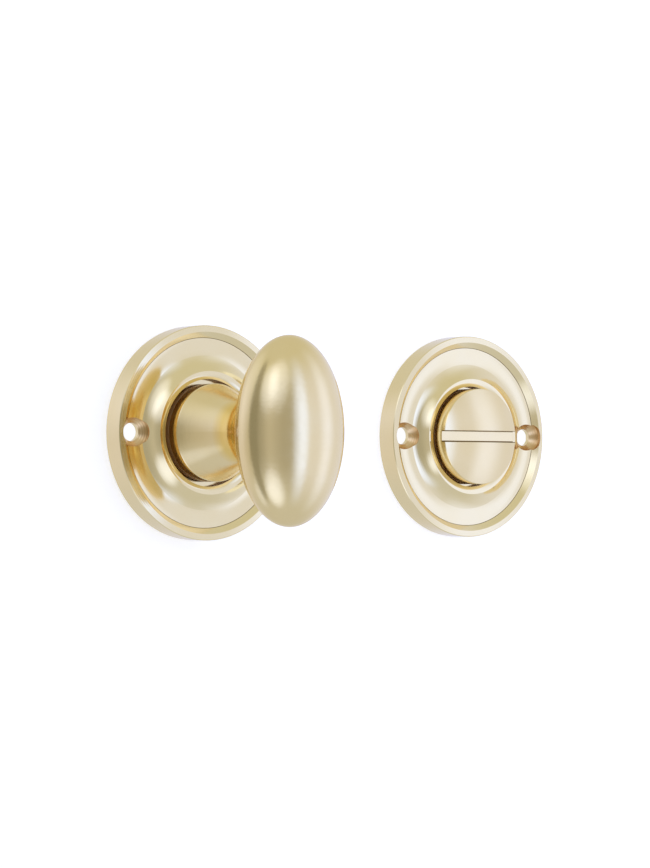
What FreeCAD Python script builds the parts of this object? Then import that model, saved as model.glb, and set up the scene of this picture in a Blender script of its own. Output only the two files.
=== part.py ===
import FreeCAD, Part
import math
import os
from FreeCAD import Matrix, Vector

# Bathroom thumb turn lock, in two halves that face the same way, side by side.
# The inside half is an oval thumb turn on a round rose. The outside half is a coin
# release on a rose of the same pattern. Millimetres, +Z up, the room at -Y.
# The origin is where the turn's axis meets the door face (the plane Y = 0).
# Every profile below is a list of (radius from the turning axis, height off the door).

# Spacing of the two halves, centre to centre along X
half_spacing = 81.5

# Rose: outer form, from the edge inwards
rose_r = 25.0
rim_height = 5.22
rim_edge_break = 0.15
rim_width = 1.35
rim_slope_width = 1.35
rim_inner_height = 5.38
cove_edge_height = 4.15
cove_sag = 0.2
shoulder_sag = 0.25
shoulder_top_height = 6.3
collar_hole_r = 12.5
collar_width = 1.85
collar_edge_height = 5.83
collar_crown = 0.18
# Of the band between the collar and the rim, the shoulder takes this share and the cove the rest
shoulder_share = 0.47

# Rose: hollow back and bearing web
rim_wall = 1.1
hub_wall = 2.4
back_pocket_depth = 1.8
ring_pocket_gap = 1.0
web_back_height = 2.6
web_thickness = 1.1

# Screw holes, on the horizontal centre line
screw_edge_distance = 4.8
screw_hole_r = 2.1
screw_land_top = 2.8
screw_head_r = 3.8

# Flanged bush, pressed into the web
bush_wall = 0.93
bush_press_gap = 0.02
bush_flange_gap = 1.5
bush_flange_thickness = 0.5
running_gap = 0.05
thrust_play = 0.05

# Spigot shared by the thumb turn and the release disc
spigot_r = 7.0
spigot_back_height = 0.3
spigot_chamfer = 0.4
groove_depth = 0.6
groove_width = 0.9
groove_height = 0.7
socket_side = 5.1
turn_socket_depth = 14.0
release_socket_depth = 6.0

# Thumb turn: flange, neck and oval head
turn_flange_gap = 1.11
turn_flange_front = 8.61
edge_break = 0.15
neck_cone_r = 7.1
neck_cone_length = 9.59
neck_cone_sag = 0.22
neck_waist_r = 6.35
neck_waist_length = 4.1
neck_top_r = 7.4
neck_flare_length = 3.7
neck_land_length = 1.0
neck_fillet = 1.2
head_half_width = 14.0
head_half_thickness = 9.0
head_half_height = 21.6

# Release disc
disc_gap = 0.62
disc_edge_height = 9.24
dome_rise = 1.8
coin_slot_width = 2.6
coin_slot_floor = 8.2

# Washers and retaining ring behind the web
ring_thickness = 0.8
ring_seat_gap = 0.02
ring_width = 1.75
ring_offset = 0.3
ring_gap = 2.6
lug_r = 1.15
lug_hole_r = 0.5
washer_gap = 0.1
washer_thickness = 0.4
washer_width = 3.4
wave_inner_gap = 0.35
wave_width = 2.8
wave_thickness = 0.25
wave_half_swing = 0.12
wave_count = 3
wave_seat_gap = 0.02

# Sizes that follow from the ones above
rim_inner_r = rose_r - rim_edge_break - rim_width
cove_outer_r = rim_inner_r - rim_slope_width
shoulder_top_r = collar_hole_r + collar_width
cove_inner_r = shoulder_top_r + shoulder_share * (cove_outer_r - shoulder_top_r)
screw_reach = rose_r - screw_edge_distance
web_front_height = web_back_height + web_thickness
flange_back_height = web_front_height + bush_flange_thickness + thrust_play
ring_front_height = groove_height + groove_width
bush_bore_r = spigot_r + running_gap
web_bore_r = bush_bore_r + bush_wall + bush_press_gap
bush_flange_r = collar_hole_r - bush_flange_gap
washer_bore_r = spigot_r + washer_gap
washer_r = washer_bore_r + washer_width
ring_pocket_r = washer_r + ring_pocket_gap
turn_flange_r = collar_hole_r - turn_flange_gap
disc_r = collar_hole_r - disc_gap
ring_bore_r = spigot_r - groove_depth + ring_seat_gap
neck_cone_height = turn_flange_front + neck_cone_length
neck_waist_height = neck_cone_height + neck_waist_length
neck_top_height = neck_waist_height + neck_flare_length
head_centre_height = neck_top_height + neck_land_length + head_half_thickness
axis_y = Vector(0, 1, 0)
outward = Vector(0, -1, 0)


def at(radius, height, side=0.0):
    return Vector(radius, -height, side)


def curve(start, end, rise):
    """Arc whose middle stands rise proud of its chord, or a line where rise is 0."""
    if rise == 0:
        return Part.LineSegment(at(*start), at(*end)).toShape()
    run, climb = end[0] - start[0], end[1] - start[1]
    share = rise / math.hypot(run, climb) * (1 if run >= 0 else -1)
    middle = at((start[0] + end[0]) / 2 - climb * share, (start[1] + end[1]) / 2 + run * share)
    return Part.Arc(at(*start), middle, at(*end)).toBSpline().toShape()


def turned(outline):
    """Solid of revolution about the Y axis from points (radius, height, rise to the next)."""
    corners = [point[:2] for point in outline]
    rises = [point[2] if len(point) > 2 else 0 for point in outline]
    edges = [curve(a, b, rise) for a, b, rise in zip(corners, corners[1:] + corners[:1], rises)]
    return Part.Face(Part.Wire(edges)).revolve(Vector(0, 0, 0), axis_y, 360)


def disc(radius, low, high, x=0.0, z=0.0):
    return Part.makeCylinder(radius, high - low, Vector(x, -low, z), outward)


def block(width, low, high, height, x=0.0, z=0.0):
    corner = Vector(x - width / 2, -high, z - height / 2)
    return Part.makeBox(width, high - low, height, corner)


def upright_rise(start, end):
    """Rise of the arc between two points that runs parallel to the axis at one of them."""
    run, climb = abs(end[0] - start[0]), abs(end[1] - start[1])
    return math.hypot(run, climb) / 2 * math.tan(math.atan2(run, climb) / 2)


def rose_blank():
    front = [
        (collar_hole_r, collar_edge_height, collar_crown),
        (shoulder_top_r, shoulder_top_height, -shoulder_sag),
        (cove_inner_r, cove_edge_height, -cove_sag),
        (cove_outer_r, cove_edge_height),
        (rim_inner_r, rim_inner_height),
        (rose_r - rim_edge_break, rim_height),
        (rose_r, rim_height - rim_edge_break),
        (rose_r, 0),
    ]
    bearing = [
        (ring_pocket_r, 0),
        (ring_pocket_r, web_back_height),
        (web_bore_r, web_back_height),
        (web_bore_r, web_front_height),
        (collar_hole_r, web_front_height),
    ]
    return turned(bearing + front)


def rose():
    hub_r = ring_pocket_r + hub_wall
    pocket = disc(rose_r - rim_wall, 0, back_pocket_depth).cut(disc(hub_r, 0, back_pocket_depth))
    cone_height = screw_head_r - screw_hole_r
    cone_top = screw_land_top + cone_height
    holes = []
    for side in (-1, 1):
        x = side * screw_reach
        holes += [
            disc(screw_hole_r, 0, screw_land_top, x),
            Part.makeCone(screw_hole_r, screw_head_r, cone_height, at(x, screw_land_top), outward),
            disc(screw_head_r, cone_top, shoulder_top_height, x),
        ]
    return rose_blank().cut(pocket).cut(holes)


def bush():
    flange_front = web_front_height + bush_flange_thickness
    sleeve_r = web_bore_r - bush_press_gap
    return turned([
        (bush_bore_r, web_back_height),
        (bush_bore_r, flange_front),
        (bush_flange_r, flange_front),
        (bush_flange_r, web_front_height),
        (sleeve_r, web_front_height),
        (sleeve_r, web_back_height),
    ])


def spigot_outline():
    groove_r = spigot_r - groove_depth
    return [
        (0, spigot_back_height),
        (spigot_r - spigot_chamfer, spigot_back_height),
        (spigot_r, spigot_back_height + spigot_chamfer / 2),
        (spigot_r, groove_height),
        (groove_r, groove_height),
        (groove_r, ring_front_height),
        (spigot_r, ring_front_height),
        (spigot_r, flange_back_height),
    ]


def socket(depth):
    return block(socket_side, spigot_back_height, spigot_back_height + depth, socket_side)


def oval_head():
    ball = Part.makeSphere(1.0)
    stretch = Matrix()
    stretch.scale(Vector(head_half_width, head_half_thickness, head_half_height))
    head = ball.transformGeometry(stretch)
    head.translate(at(0, head_centre_height))
    return head


def thumb_turn():
    cone_end = (neck_cone_r, neck_cone_height)
    waist = (neck_waist_r, neck_waist_height)
    top = (neck_top_r, neck_top_height)
    neck = turned(spigot_outline() + [
        (turn_flange_r, flange_back_height),
        (turn_flange_r, turn_flange_front - edge_break),
        (turn_flange_r - edge_break, turn_flange_front, -neck_cone_sag),
        cone_end + (-upright_rise(cone_end, waist),),
        waist + (upright_rise(waist, top),),
        top,
        (neck_top_r, head_centre_height),
        (0, head_centre_height),
    ])
    turn = neck.fuse(oval_head())
    return turn.makeFillet(neck_fillet, neck_seam(turn)).cut(socket(turn_socket_depth))


def neck_seam(turn):
    """Edges where the neck runs into the back of the oval head."""
    seam = []
    for edge in turn.Edges:
        box = edge.BoundBox
        behind = -head_centre_height < box.YMin and box.YMax < -neck_top_height
        if behind and min(box.YLength, box.ZLength) > edge_break:
            seam.append(edge)
    return seam


def release_disc():
    dome_edge_r = disc_r - edge_break
    dome_radius = (dome_edge_r ** 2 + dome_rise ** 2) / (2 * dome_rise)
    dome_curve = dome_radius * (1 - math.cos(math.asin(dome_edge_r / dome_radius) / 2))
    body = turned(spigot_outline() + [
        (disc_r, flange_back_height),
        (disc_r, disc_edge_height - edge_break),
        (dome_edge_r, disc_edge_height, dome_curve),
        (0, disc_edge_height + dome_rise),
    ])
    slot_top = disc_edge_height + dome_rise
    slot = block(2 * disc_r, coin_slot_floor, slot_top, coin_slot_width)
    return body.cut(slot).cut(socket(release_socket_depth))


def backing_washer():
    back = ring_front_height
    front = back + washer_thickness
    return disc(washer_r, back, front).cut(disc(washer_bore_r, back, front))


def wave_loop(radius, height):
    """Closed smooth curve that rises and falls wave_count times round the axis."""
    steps = 8 * wave_count
    points = []
    for step in range(steps):
        angle = 2 * math.pi * step / steps
        swing = wave_half_swing * math.cos(wave_count * angle)
        points.append(at(radius * math.cos(angle), height + swing, radius * math.sin(angle)))
    loop = Part.BSplineCurve()
    loop.interpolate(points, PeriodicFlag=True)
    return loop.toShape()


def wave_washer():
    back = ring_front_height + washer_thickness + wave_seat_gap + wave_half_swing
    inner_r = spigot_r + wave_inner_gap
    corners = [
        (inner_r, back),
        (inner_r + wave_width, back),
        (inner_r + wave_width, back + wave_thickness),
        (inner_r, back + wave_thickness),
    ]
    loops = [wave_loop(*corner) for corner in corners]
    faces = [Part.makeRuledSurface(a, b) for a, b in zip(loops, loops[1:] + loops[:1])]
    shell = Part.Shell([face for ruled in faces for face in ruled.Faces])
    shell.sewShape()
    solid = Part.Solid(shell)
    if solid.Volume < 0:
        solid.reverse()
    return solid


def retaining_ring():
    back = ring_front_height - ring_thickness
    front = ring_front_height
    outer_r = ring_bore_r + ring_width
    lug_ring_r = outer_r - ring_offset + lug_r / 2
    lug_x = ring_gap / 2 + lug_r
    lug_z = math.sqrt(lug_ring_r ** 2 - lug_x ** 2)
    ring = disc(outer_r, back, front, 0, -ring_offset)
    ring = ring.fuse([disc(lug_r, back, front, side * lug_x, lug_z) for side in (-1, 1)])
    slit = block(ring_gap, back, front, 2 * outer_r, 0, outer_r)
    holes = [disc(lug_hole_r, back, front, side * lug_x, lug_z) for side in (-1, 1)]
    return ring.cut([disc(ring_bore_r, back, front), slit] + holes)


def placed(shape, x):
    shape.translate(Vector(x, 0, 0))
    return shape


def parts():
    built = {"thumb_turn": thumb_turn(), "release_disc": placed(release_disc(), half_spacing)}
    for half, x in (("turn", 0.0), ("release", half_spacing)):
        built[half + "_rose"] = placed(rose(), x)
        built[half + "_bush"] = placed(bush(), x)
        built[half + "_wave_washer"] = placed(wave_washer(), x)
        built[half + "_backing_washer"] = placed(backing_washer(), x)
        built[half + "_retaining_ring"] = placed(retaining_ring(), x)
    return built


os.makedirs("parts", exist_ok=True)
for name, shape in parts().items():
    solid = shape.Solids[0] if len(shape.Solids) == 1 else shape
    print(name, len(shape.Solids), "solid", round(solid.Volume, 1), "mm3", solid.isValid())
    solid.exportStep("parts/" + name + ".step")
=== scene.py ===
import math

import bpy
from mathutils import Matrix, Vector


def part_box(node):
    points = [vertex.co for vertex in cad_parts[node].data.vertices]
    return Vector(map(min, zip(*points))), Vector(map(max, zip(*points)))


# Looks of the bathroom thumb turn lock: two brass halves on a white wall, in a soft light tent.
# Lengths are in metres unless a name says MM. The room is at -Y and the wall is the plane Y = 0.
# A height is a distance in front of the wall.

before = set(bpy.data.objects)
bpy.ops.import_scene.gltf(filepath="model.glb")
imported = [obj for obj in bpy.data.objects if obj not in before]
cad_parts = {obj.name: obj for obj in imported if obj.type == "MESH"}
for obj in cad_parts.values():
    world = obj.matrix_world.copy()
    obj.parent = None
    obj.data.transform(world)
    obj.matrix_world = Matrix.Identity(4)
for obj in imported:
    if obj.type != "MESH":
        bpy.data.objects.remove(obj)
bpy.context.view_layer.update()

MM = 0.001

# Camera, fitted to the photograph
CAMERA_AZIMUTH = -38.99
CAMERA_ELEVATION = -1.03
CAMERA_DISTANCE = 0.71557
CAMERA_TARGET = Vector((0.03925, 0.0, 0.00025))
FRAME_HEIGHT_PX = 868
FOCAL_LENGTH_PX = 2956.6
SENSOR_MM = 36.0

# Places on the solids: where each finish starts and ends
HALVES = ("turn", "release")
ROSE_LOW, ROSE_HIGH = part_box("turn_rose")
ROSE_RADIUS = (ROSE_HIGH.x - ROSE_LOW.x) / 2
HALF_CENTRES = {half: sum(c.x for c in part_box(half + "_rose")) / 2 for half in HALVES}
SURFACE_MARGIN = 0.05 * MM
# Where the painted shade line lies in the corner between the cove and the rim
COVE_EDGE_RADIUS = 22.15 * MM
COVE_SEAM_HALF_WIDTH = 0.06 * MM
COVE_BACK_HEIGHT = 3.5 * MM
COLLAR_HOLE_RADIUS = 12.5 * MM
# The painted shade in the running gap fades in below this height
GAP_TOP_HEIGHT = 5.7 * MM
GAP_FADE = 0.4 * MM
SCREW_REACH = 20.2 * MM
SCREW_HEAD_RADIUS = 3.8 * MM
# A seat's points are nearer to the screw's axis than their height less this rise
SEAT_CONE_RISE = 0.64 * MM
# A seat goes from its plain cut tone to painted shade between these radii
SEAT_PALE_RADIUS = 2.5 * MM
SEAT_SHADE_RADIUS = 3.6 * MM
TURN_FLANGE_RADIUS = 11.39 * MM
# Heights and radii that bound the painted reflection round the neck's waist
WAIST_START_HEIGHT = 16.7 * MM
WAIST_FULL_HEIGHT = 19.2 * MM
HEAD_BACK_HEIGHT = 27.0 * MM
HEAD_EDGE_HEIGHT = 29.0 * MM
NECK_RADIUS = 7.4 * MM
NECK_FILLET_RADIUS = 9.4 * MM
DISC_RADIUS = 11.88 * MM
SLOT_HALF_WIDTH = 1.3 * MM
SLOT_FLOOR_HEIGHT = 8.2 * MM
# Half widths of the painted shade lines along the slot's upper and lower edges
SLOT_UPPER_LINE = 0.12 * MM
SLOT_LOWER_LINE = 0.2 * MM
# The slot's walls face up or down: the upright part of their normal is more than this
SLOT_WALL_SLOPE = 0.7

# Finishes: each pair of brass tones is mixed in soft clouds
BRIGHT_BRASS = ("#f8e7b8", "#f5e0a8")
SATIN_BRASS = ("#f6e2b0", "#f3dba0")
# Painted reflection: the deeper gold of brass mirrored in brass at the neck's waist
WAIST_PAINTED_REFLECTION = "#f4d27e"
CUT_BRASS = "#e9cb98"
# Painted shade: a darker tone at a seat's outer edge
CUT_BRASS_PAINTED_SHADE = "#cfa56a"
# Painted shade: a dull warm brown, less metallic, laid on the side walls down in the running gap
GAP_PAINTED_SHADE = "#b98f58"
# Painted shade: thin dark lines in the cove's corner and along the coin slot's edges
PAINTED_LINE_SHADE = "#7a6238"
ROSE_ROUGHNESS = 0.11
TURN_ROUGHNESS = 0.17
DISC_ROUGHNESS = 0.15
WAIST_REFLECTION_ROUGHNESS = 0.14
CUT_ROUGHNESS = 0.24
GAP_SHADE_ROUGHNESS = 0.5
GAP_SHADE_METAL = 0.2
LINE_SHADE_ROUGHNESS = 0.35
CLOUD_SIZE = 9 * MM
HAZE_SIZE = 2.5 * MM
TURNING_PITCH = 0.45 * MM
TURNING_DEPTH = 0.002 * MM
SEAT_RING_PITCH = 0.4 * MM
SEAT_RING_DEPTH = 0.006 * MM
ACETAL = "#dcd8cc"
SPRING_STEEL = "#8b8a88"
ZINC = "#b9bcc0"

# The tent: what the brass mirrors. Azimuth 0 is straight in front of the thumb turn, + towards
# the release half.
TENT_RADIUS = 0.32
TENT_CENTRE = Vector((0.0, -0.036, 0.0))
TENT_STRENGTH = 2.3
TENT_BRIGHT = "#b2c3fc"
TENT_SOFT = "#aeb8e0"
TENT_PALE = "#9fa4bb"
TENT_MID = "#878788"
TENT_SHADE = "#797978"
TENT_DARK = "#666661"
TENT_SIDE = "#888786"
TENT_BACK = "#9a9aa4"
TENT_ROOF = "#92938f"
TENT_GROUND = "#8f929a"
TENT_PANELS = [
    (-180, TENT_BACK),
    (-130, TENT_BACK),
    (-99, TENT_SIDE),
    (-90, TENT_DARK),
    (-70, TENT_DARK),
    (-35, TENT_MID),
    (-10, TENT_SHADE),
    (5, TENT_SHADE),
    (17, TENT_BRIGHT),
    (24, TENT_BRIGHT),
    (31, TENT_PALE),
    (45, TENT_PALE),
    (54, TENT_SOFT),
    (62, TENT_SOFT),
    (74, TENT_PALE),
    (110, TENT_PALE),
    (150, TENT_BACK),
    (180, TENT_BACK),
]
# The panels fade into the roof and the ground between these elevations, in degrees
TENT_FADE_START = 12
TENT_FADE_END = 58
# The dark column at the left reaches further up and down than the panels, and ends more sharply
COLUMN_AZIMUTH = -79
COLUMN_HALF_WIDTH = 12
COLUMN_FADE_START = 48
COLUMN_FADE_END = 66
COLUMN_SHARE = 0.8
# Round lamps behind the tent: azimuth, elevation, half width in degrees, strength
TENT_LAMPS = [
    (-42, 33, 25, 0.33),
    (-20, 34, 25, 0.33),
    (-33, -45, 25, 0.44),
    (-125, 30, 40, 0.14),
    (-105, -50, 18, 0.15),
]

WALL_PAPER = "#f0f1f4"
WALL_GLOW = 0.15
WALL_SEEN_GLOW = 0.5
WALL_SIZE = 3.0
WALL_DEPTH = 0.05 * MM
WALL_STEPS = 96
OPENING_MARGIN = 0.5 * MM
FLOOR_PAPER = "#f2e9d6"
FLOOR_SEEN_GLOW = 0.25
FLOOR_LEVEL = -0.16


def linear(hex_colour):
    """sRGB hex to linear RGBA."""
    parts = [int(hex_colour[i:i + 2], 16) / 255 for i in (1, 3, 5)]
    return tuple(c / 12.92 if c <= 0.04045 else ((c + 0.055) / 1.055) ** 2.4 for c in parts) + (1.0,)


def add(tree, kind, inputs=None, **settings):
    """Adds a node, sets its properties, and fills each named input with a value or a link."""
    node = tree.nodes.new(kind)
    for name, value in settings.items():
        setattr(node, name, value)
    for name, value in (inputs or {}).items():
        if isinstance(value, bpy.types.NodeSocket):
            tree.links.new(value, node.inputs[name])
        else:
            node.inputs[name].default_value = value
    return node


def new_material(name):
    material = bpy.data.materials.new(name)
    material.use_nodes = True
    material.node_tree.nodes.clear()
    return material, material.node_tree


def finish_material(tree, shader):
    add(tree, "ShaderNodeOutputMaterial", {"Surface": shader})


def radius_from(tree, place, centre_x):
    """Distance of a point from the axis that runs along Y through (centre_x, 0)."""
    flat = add(tree, "ShaderNodeVectorMath", {0: place, 1: (1, 0, 1)}, operation="MULTIPLY").outputs[0]
    centre = (centre_x, 0, 0)
    return add(tree, "ShaderNodeVectorMath", {0: flat, 1: centre}, operation="DISTANCE").outputs["Value"]


def rings(tree, radius, pitch):
    """Concentric tool marks, one every pitch."""
    turns = add(tree, "ShaderNodeMath", {0: radius, 1: 2 * math.pi / pitch}, operation="MULTIPLY")
    return add(tree, "ShaderNodeMath", {0: turns.outputs[0]}, operation="SINE").outputs[0]


def cover(tree, finish, mask, tone, rough, metal=1.0):
    """Lays another tone, roughness and share of bare metal over the finish where the mask is 1."""
    finish["colour"] = add(tree, "ShaderNodeMix", {0: mask, 6: finish["colour"], 7: tone},
                           data_type="RGBA").outputs[2]
    for name, value in (("rough", rough), ("metal", metal)):
        finish[name] = add(tree, "ShaderNodeMix", {0: mask, 2: finish[name], 3: value},
                           data_type="FLOAT").outputs[0]


def polished_brass(name, centre_x, tones, roughness, gap_radius):
    """Yellow brass, turned and buffed bright: broad clean reflections, faintly clouded by the buffing mop,
    over the ghost of the turning marks, and a painted shade, a dull warm brown, down in the running gap."""
    material, tree = new_material(name)
    place = add(tree, "ShaderNodeTexCoord").outputs["Object"]
    reach = radius_from(tree, place, centre_x)
    depth = add(tree, "ShaderNodeSeparateXYZ", {0: place}).outputs[1]
    clouds = add(tree, "ShaderNodeTexNoise", {"Vector": place, "Scale": 1 / CLOUD_SIZE, "Detail": 3.0})
    colour = add(tree, "ShaderNodeMix", {0: clouds.outputs[0], 6: linear(tones[0]), 7: linear(tones[1])},
                 data_type="RGBA").outputs[2]
    haze = add(tree, "ShaderNodeTexNoise", {"Vector": place, "Scale": 1 / HAZE_SIZE, "Detail": 4.0})
    rough = add(tree, "ShaderNodeMapRange", {
        "Value": haze.outputs[0], "From Min": 0.3, "From Max": 0.7,
        "To Min": roughness * 0.85, "To Max": roughness * 1.2}).outputs[0]
    marks = add(tree, "ShaderNodeMath", {0: rings(tree, reach, TURNING_PITCH), 1: haze.outputs[0]},
                operation="MULTIPLY").outputs[0]
    normal = add(tree, "ShaderNodeBump", {
        "Height": marks, "Distance": TURNING_DEPTH, "Strength": 0.5}).outputs[0]
    finish = {"colour": colour, "rough": rough, "normal": normal, "metal": 1.0}
    # Painted shade in the running gap: a dull warm brown on the side walls below the gap's top
    side = add(tree, "ShaderNodeMath", {0: reach, 1: gap_radius, 2: SURFACE_MARGIN},
               operation="COMPARE").outputs[0]
    deep = add(tree, "ShaderNodeMapRange", {
        "Value": depth, "From Min": -GAP_TOP_HEIGHT, "From Max": -GAP_TOP_HEIGHT + GAP_FADE}).outputs[0]
    gap_shade = add(tree, "ShaderNodeMath", {0: side, 1: deep}, operation="MULTIPLY").outputs[0]
    cover(tree, finish, gap_shade, linear(GAP_PAINTED_SHADE), GAP_SHADE_ROUGHNESS, GAP_SHADE_METAL)
    return material, tree, place, depth, finish


def finish_brass(tree, finish):
    shader = add(tree, "ShaderNodeBsdfPrincipled", {
        "Base Color": finish["colour"], "Metallic": finish["metal"],
        "Roughness": finish["rough"], "Normal": finish["normal"]})
    finish_material(tree, shader.outputs[0])


def rose_brass(half):
    """The rose's brass. A thin line of painted shade lies in the corner where the cove meets the rim,
    and the screw seats are as the countersink left them: duller, tan, finely ringed, with painted shade
    towards their outer edge."""
    centre_x = HALF_CENTRES[half]
    material, tree, place, depth, finish = polished_brass(
        "polished_brass_" + half + "_rose", centre_x, BRIGHT_BRASS, ROSE_ROUGHNESS, COLLAR_HOLE_RADIUS)
    reach = radius_from(tree, place, centre_x)
    # Painted shade: a thin dark line in the corner where the cove meets the rim
    corner = add(tree, "ShaderNodeMath", {0: reach, 1: COVE_EDGE_RADIUS, 2: COVE_SEAM_HALF_WIDTH},
                 operation="COMPARE").outputs[0]
    front = add(tree, "ShaderNodeMath", {0: depth, 1: -COVE_BACK_HEIGHT}, operation="LESS_THAN").outputs[0]
    seam_shade = add(tree, "ShaderNodeMath", {0: corner, 1: front}, operation="MULTIPLY").outputs[0]
    cover(tree, finish, seam_shade, linear(PAINTED_LINE_SHADE), LINE_SHADE_ROUGHNESS)
    for side in (-1, 1):
        reach = radius_from(tree, place, centre_x + side * SCREW_REACH)
        head = add(tree, "ShaderNodeMath", {0: reach, 1: SCREW_HEAD_RADIUS + SURFACE_MARGIN},
                   operation="LESS_THAN").outputs[0]
        rise = add(tree, "ShaderNodeMath", {0: depth, 1: reach}, operation="ADD").outputs[0]
        cone = add(tree, "ShaderNodeMath", {0: rise, 1: -SEAT_CONE_RISE}, operation="LESS_THAN").outputs[0]
        seat = add(tree, "ShaderNodeMath", {0: head, 1: cone}, operation="MULTIPLY").outputs[0]
        # Painted shade: the seat darkens towards its outer edge
        edge = add(tree, "ShaderNodeMapRange", {
            "Value": reach, "From Min": SEAT_PALE_RADIUS, "From Max": SEAT_SHADE_RADIUS}).outputs[0]
        tone = add(tree, "ShaderNodeMix", {0: edge, 6: linear(CUT_BRASS), 7: linear(CUT_BRASS_PAINTED_SHADE)},
                   data_type="RGBA").outputs[2]
        cover(tree, finish, seat, tone, CUT_ROUGHNESS)
        cuts = add(tree, "ShaderNodeMath", {0: rings(tree, reach, SEAT_RING_PITCH), 1: seat},
                   operation="MULTIPLY").outputs[0]
        finish["normal"] = add(tree, "ShaderNodeBump", {
            "Height": cuts, "Distance": SEAT_RING_DEPTH, "Normal": finish["normal"]}).outputs[0]
    finish_brass(tree, finish)
    return material


def turn_brass():
    """The thumb turn's brass: satin polished by hand and by use, with a deeper gold painted round the
    waist of the neck: a painted reflection of brass mirrored in brass."""
    centre_x = HALF_CENTRES["turn"]
    material, tree, place, depth, finish = polished_brass(
        "satin_polished_brass_turn", centre_x, SATIN_BRASS, TURN_ROUGHNESS, TURN_FLANGE_RADIUS)
    reach = radius_from(tree, place, centre_x)
    # Painted reflection: a deeper gold round the neck's waist, near the head's back
    waist_reflection = 1.0
    for value, none, full in ((depth, -WAIST_START_HEIGHT, -WAIST_FULL_HEIGHT),
                              (depth, -HEAD_EDGE_HEIGHT, -HEAD_BACK_HEIGHT),
                              (reach, NECK_FILLET_RADIUS, NECK_RADIUS)):
        near = add(tree, "ShaderNodeMapRange", {
            "Value": value, "From Min": none, "From Max": full}).outputs[0]
        waist_reflection = add(tree, "ShaderNodeMath", {0: waist_reflection, 1: near}, operation="MULTIPLY").outputs[0]
    cover(tree, finish, waist_reflection, linear(WAIST_PAINTED_REFLECTION), WAIST_REFLECTION_ROUGHNESS)
    finish_brass(tree, finish)
    return material


def disc_brass():
    """The release disc's brass, with painted shade as thin dark lines along both edges of the coin slot,
    most below, and none on the slot's walls."""
    material, tree, place, depth, finish = polished_brass(
        "satin_polished_brass_release", HALF_CENTRES["release"], SATIN_BRASS, DISC_ROUGHNESS, DISC_RADIUS)
    level = add(tree, "ShaderNodeSeparateXYZ", {0: place}).outputs[2]
    front = add(tree, "ShaderNodeMath", {0: depth, 1: -SLOT_FLOOR_HEIGHT + SURFACE_MARGIN},
                operation="LESS_THAN").outputs[0]
    facing = add(tree, "ShaderNodeTexCoord").outputs["Normal"]
    facing_up = add(tree, "ShaderNodeSeparateXYZ", {0: facing}).outputs[2]
    slope = add(tree, "ShaderNodeMath", {0: facing_up}, operation="ABSOLUTE").outputs[0]
    off_walls = add(tree, "ShaderNodeMath", {0: slope, 1: SLOT_WALL_SLOPE}, operation="LESS_THAN").outputs[0]
    front = add(tree, "ShaderNodeMath", {0: front, 1: off_walls}, operation="MULTIPLY").outputs[0]
    # Painted shade: thin dark lines along the slot's upper and lower edges
    for edge, half_line in ((SLOT_HALF_WIDTH, SLOT_UPPER_LINE), (-SLOT_HALF_WIDTH, SLOT_LOWER_LINE)):
        line = add(tree, "ShaderNodeMath", {0: level, 1: edge, 2: half_line}, operation="COMPARE").outputs[0]
        line = add(tree, "ShaderNodeMath", {0: line, 1: front}, operation="MULTIPLY").outputs[0]
        cover(tree, finish, line, linear(PAINTED_LINE_SHADE), LINE_SHADE_ROUGHNESS)
    finish_brass(tree, finish)
    return material


def machined_acetal():
    """Machined acetal bush: off-white, waxy, slightly see-through at its edges."""
    material, tree = new_material("machined_acetal")
    place = add(tree, "ShaderNodeTexCoord").outputs["Object"]
    grain = add(tree, "ShaderNodeTexNoise", {"Vector": place, "Scale": 1 / (0.6 * MM), "Detail": 5.0})
    rough = add(tree, "ShaderNodeMapRange", {"Value": grain.outputs[0], "To Min": 0.38, "To Max": 0.55})
    bump = add(tree, "ShaderNodeBump", {"Height": grain.outputs[0], "Distance": 0.01 * MM})
    shader = add(tree, "ShaderNodeBsdfPrincipled", {
        "Base Color": linear(ACETAL), "Roughness": rough.outputs[0], "IOR": 1.48,
        "Subsurface Weight": 0.15, "Subsurface Scale": 1 * MM, "Normal": bump.outputs[0]})
    finish_material(tree, shader.outputs[0])
    return material


def plain_steel(name, colour, roughness, grain_mm):
    """Stamped strip steel: a fine rolled grain under its finish."""
    material, tree = new_material(name)
    place = add(tree, "ShaderNodeTexCoord").outputs["Object"]
    rolled = add(tree, "ShaderNodeMapping", {"Vector": place, "Scale": (1.0, 1.0, 0.08)})
    grain = add(tree, "ShaderNodeTexNoise", {"Vector": rolled.outputs[0], "Scale": 1 / (grain_mm * MM),
                                             "Detail": 4.0})
    rough = add(tree, "ShaderNodeMapRange", {"Value": grain.outputs[0], "To Min": roughness * 0.8,
                                             "To Max": roughness * 1.3})
    bump = add(tree, "ShaderNodeBump", {"Height": grain.outputs[0], "Distance": 0.006 * MM})
    shader = add(tree, "ShaderNodeBsdfPrincipled", {
        "Base Color": linear(colour), "Metallic": 1.0,
        "Roughness": rough.outputs[0], "Normal": bump.outputs[0]})
    finish_material(tree, shader.outputs[0])
    return material


def dress(node, material):
    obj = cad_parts[node]
    obj.data.materials.clear()
    obj.data.materials.append(material)


def dress_nodes():
    acetal = machined_acetal()
    spring = plain_steel("blued_spring_steel", SPRING_STEEL, 0.32, 0.4)
    zinc = plain_steel("zinc_plated_steel", ZINC, 0.38, 0.5)
    for half in HALVES:
        dress(half + "_rose", rose_brass(half))
        dress(half + "_bush", acetal)
        dress(half + "_wave_washer", spring)
        dress(half + "_backing_washer", zinc)
        dress(half + "_retaining_ring", spring)
    dress("thumb_turn", turn_brass())
    dress("release_disc", disc_brass())


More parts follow.
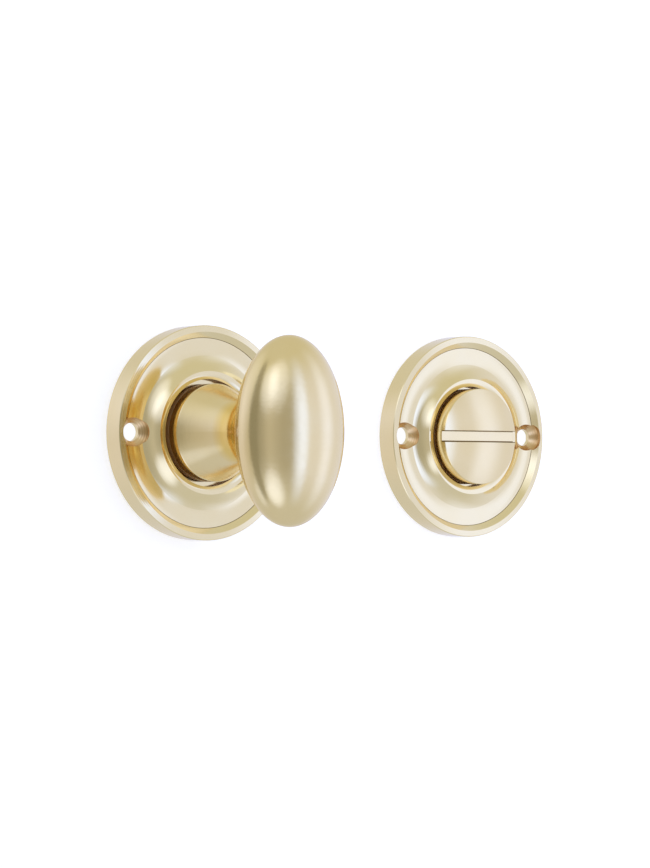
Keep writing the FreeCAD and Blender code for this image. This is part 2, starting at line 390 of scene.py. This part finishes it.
def direction(azimuth, elevation):
    """Unit vector from the lock, in degrees: azimuth 0 is straight in front of the wall."""
    azimuth, elevation = math.radians(azimuth), math.radians(elevation)
    flat = math.cos(elevation)
    return Vector((math.sin(azimuth) * flat, -math.cos(azimuth) * flat, math.sin(elevation)))


def place_camera():
    back = direction(CAMERA_AZIMUTH, CAMERA_ELEVATION)
    data = bpy.data.cameras.new("camera")
    data.sensor_width = SENSOR_MM
    data.lens = FOCAL_LENGTH_PX / FRAME_HEIGHT_PX * SENSOR_MM
    data.clip_start = 0.01
    camera = bpy.data.objects.new("camera", data)
    camera.location = CAMERA_TARGET + back * CAMERA_DISTANCE
    camera.rotation_mode = "QUATERNION"
    camera.rotation_quaternion = (-back).to_track_quat("-Z", "Y")
    bpy.context.scene.collection.objects.link(camera)
    bpy.context.scene.camera = camera


def light_tent():
    """A round white tent with two upright strips, round lamps and a dark column at the left. The
    camera sees through it, so the room beyond it is plain white."""
    material, tree = new_material("tent_cloth")
    place = add(tree, "ShaderNodeTexCoord").outputs["Object"]
    ray = add(tree, "ShaderNodeVectorMath", {0: place}, operation="NORMALIZE").outputs[0]
    axes = add(tree, "ShaderNodeSeparateXYZ", {0: ray})
    front = add(tree, "ShaderNodeMath", {0: axes.outputs[1], 1: -1.0}, operation="MULTIPLY").outputs[0]
    turn = add(tree, "ShaderNodeMath", {0: axes.outputs[0], 1: front}, operation="ARCTAN2").outputs[0]
    share = add(tree, "ShaderNodeMapRange", {"Value": turn, "From Min": -math.pi, "From Max": math.pi})
    panels = add(tree, "ShaderNodeValToRGB", {0: share.outputs[0]})
    stops = panels.color_ramp.elements
    while len(stops) < len(TENT_PANELS):
        stops.new(1.0)
    for stop, (azimuth, colour) in zip(stops, TENT_PANELS):
        stop.position = (azimuth + 180) / 360
        stop.color = linear(colour)
    colour = panels.outputs[0]
    for side, tone in ((1, TENT_ROOF), (-1, TENT_GROUND)):
        fade = add(tree, "ShaderNodeMapRange", {
            "Value": axes.outputs[2],
            "From Min": side * math.sin(math.radians(TENT_FADE_START)),
            "From Max": side * math.sin(math.radians(TENT_FADE_END))}, interpolation_type="SMOOTHSTEP")
        colour = add(tree, "ShaderNodeMix", {0: fade.outputs[0], 6: colour, 7: linear(tone)},
                     data_type="RGBA").outputs[2]
    across = add(tree, "ShaderNodeMath", {
        0: turn, 1: math.radians(COLUMN_AZIMUTH), 2: math.radians(COLUMN_HALF_WIDTH)},
        operation="COMPARE").outputs[0]
    level = add(tree, "ShaderNodeMath", {0: axes.outputs[2]}, operation="ABSOLUTE").outputs[0]
    along = add(tree, "ShaderNodeMapRange", {
        "Value": level, "From Min": math.sin(math.radians(COLUMN_FADE_START)),
        "From Max": math.sin(math.radians(COLUMN_FADE_END)), "To Min": COLUMN_SHARE, "To Max": 0.0},
        interpolation_type="SMOOTHSTEP").outputs[0]
    column = add(tree, "ShaderNodeMath", {0: across, 1: along}, operation="MULTIPLY").outputs[0]
    colour = add(tree, "ShaderNodeMix", {0: column, 6: colour, 7: linear(TENT_DARK)},
                 data_type="RGBA").outputs[2]
    for azimuth, elevation, width, strength in TENT_LAMPS:
        near = add(tree, "ShaderNodeVectorMath", {0: ray, 1: direction(azimuth, elevation)},
                   operation="DOT_PRODUCT").outputs["Value"]
        glow = add(tree, "ShaderNodeMapRange", {
            "Value": near, "From Min": math.cos(math.radians(width)), "From Max": 1.0, "To Max": strength},
            interpolation_type="SMOOTHSTEP").outputs[0]
        colour = add(tree, "ShaderNodeMix", {0: glow, 6: colour, 7: linear(TENT_BRIGHT)},
                     data_type="RGBA", blend_type="ADD").outputs[2]
    cloth = add(tree, "ShaderNodeEmission", {"Color": colour, "Strength": TENT_STRENGTH}).outputs[0]
    clear = add(tree, "ShaderNodeBsdfTransparent").outputs[0]
    seen = add(tree, "ShaderNodeLightPath").outputs["Is Camera Ray"]
    finish_material(tree, add(tree, "ShaderNodeMixShader", {0: seen, 1: cloth, 2: clear}).outputs[0])
    bpy.ops.mesh.primitive_uv_sphere_add(
        segments=64, ring_count=32, radius=TENT_RADIUS, location=TENT_CENTRE)
    tent = bpy.context.object
    tent.name = "light_tent"
    tent.data.materials.append(material)


def white_room():
    world = bpy.data.worlds.new("white_room")
    bpy.context.scene.world = world
    world.use_nodes = True
    tree = world.node_tree
    tree.nodes.clear()
    white = add(tree, "ShaderNodeBackground", {"Color": (1, 1, 1, 1), "Strength": 1.0}).outputs[0]
    add(tree, "ShaderNodeOutputWorld", {"Surface": white})


def backdrop_paper(name, colour, glow, seen_glow):
    """Matt paper that shows as plain white where nothing shades it. It can be seen through from
    behind, and the brass mirrors the tent beyond it."""
    material, tree = new_material(name)
    path = add(tree, "ShaderNodeLightPath")
    seen = path.outputs["Is Camera Ray"]
    level = add(tree, "ShaderNodeMapRange", {"Value": seen, "To Min": glow, "To Max": seen_glow}).outputs[0]
    paper = add(tree, "ShaderNodeBsdfDiffuse", {"Color": linear(colour)}).outputs[0]
    light = add(tree, "ShaderNodeEmission", {"Color": (1, 1, 1, 1), "Strength": level}).outputs[0]
    front = add(tree, "ShaderNodeAddShader", {0: paper, 1: light}).outputs[0]
    clear = add(tree, "ShaderNodeBsdfTransparent").outputs[0]
    behind = add(tree, "ShaderNodeNewGeometry").outputs["Backfacing"]
    away = add(tree, "ShaderNodeMath", {0: behind, 1: path.outputs["Is Glossy Ray"]},
               operation="MAXIMUM").outputs[0]
    finish_material(tree, add(tree, "ShaderNodeMixShader", {0: away, 1: front, 2: clear}).outputs[0])
    return material


def stage_piece(name, vertices, faces, material):
    mesh = bpy.data.meshes.new(name)
    mesh.from_pydata(vertices, [], faces)
    mesh.materials.append(material)
    piece = bpy.data.objects.new(name, mesh)
    bpy.context.scene.collection.objects.link(piece)


def wall():
    """White wall at the back of the roses, open behind each of them as a bored door is."""
    paper = backdrop_paper("white_wall", WALL_PAPER, WALL_GLOW, WALL_SEEN_GLOW)
    opening = ROSE_RADIUS - OPENING_MARGIN
    half_way = sum(HALF_CENTRES.values()) / 2
    vertices, faces = [], []
    for half in HALVES:
        centre_x = HALF_CENTRES[half]
        outward = -1 if centre_x < half_way else 1
        for step in range(WALL_STEPS):
            angle = 2 * math.pi * step / WALL_STEPS
            across, up = math.cos(angle), math.sin(angle)
            reach = WALL_SIZE / max(abs(across), abs(up))
            if across * outward <= 0:
                reach = min(reach, abs(half_way - centre_x) / max(abs(across), 1e-9))
            vertices.append((centre_x + opening * across, WALL_DEPTH, opening * up))
            vertices.append((centre_x + reach * across, WALL_DEPTH, reach * up))
        first = len(vertices) - 2 * WALL_STEPS
        for step in range(WALL_STEPS):
            a, b = first + 2 * step, first + 2 * ((step + 1) % WALL_STEPS)
            faces.append((a, a + 1, b + 1, b))
    stage_piece("white_wall", vertices, faces, paper)


def floor():
    """Pale cream paper below the lock, which the cool light of the tent turns to plain white."""
    paper = backdrop_paper("pale_floor", FLOOR_PAPER, 0.0, FLOOR_SEEN_GLOW)
    reach = WALL_SIZE
    vertices = [(-reach, 0, FLOOR_LEVEL), (-reach, -reach, FLOOR_LEVEL),
                (reach, -reach, FLOOR_LEVEL), (reach, 0, FLOOR_LEVEL)]
    stage_piece("pale_floor", vertices, [(0, 1, 2, 3)], paper)


dress_nodes()
wall()
floor()
light_tent()
white_room()
place_camera()
bpy.context.scene.view_settings.view_transform = "Standard"
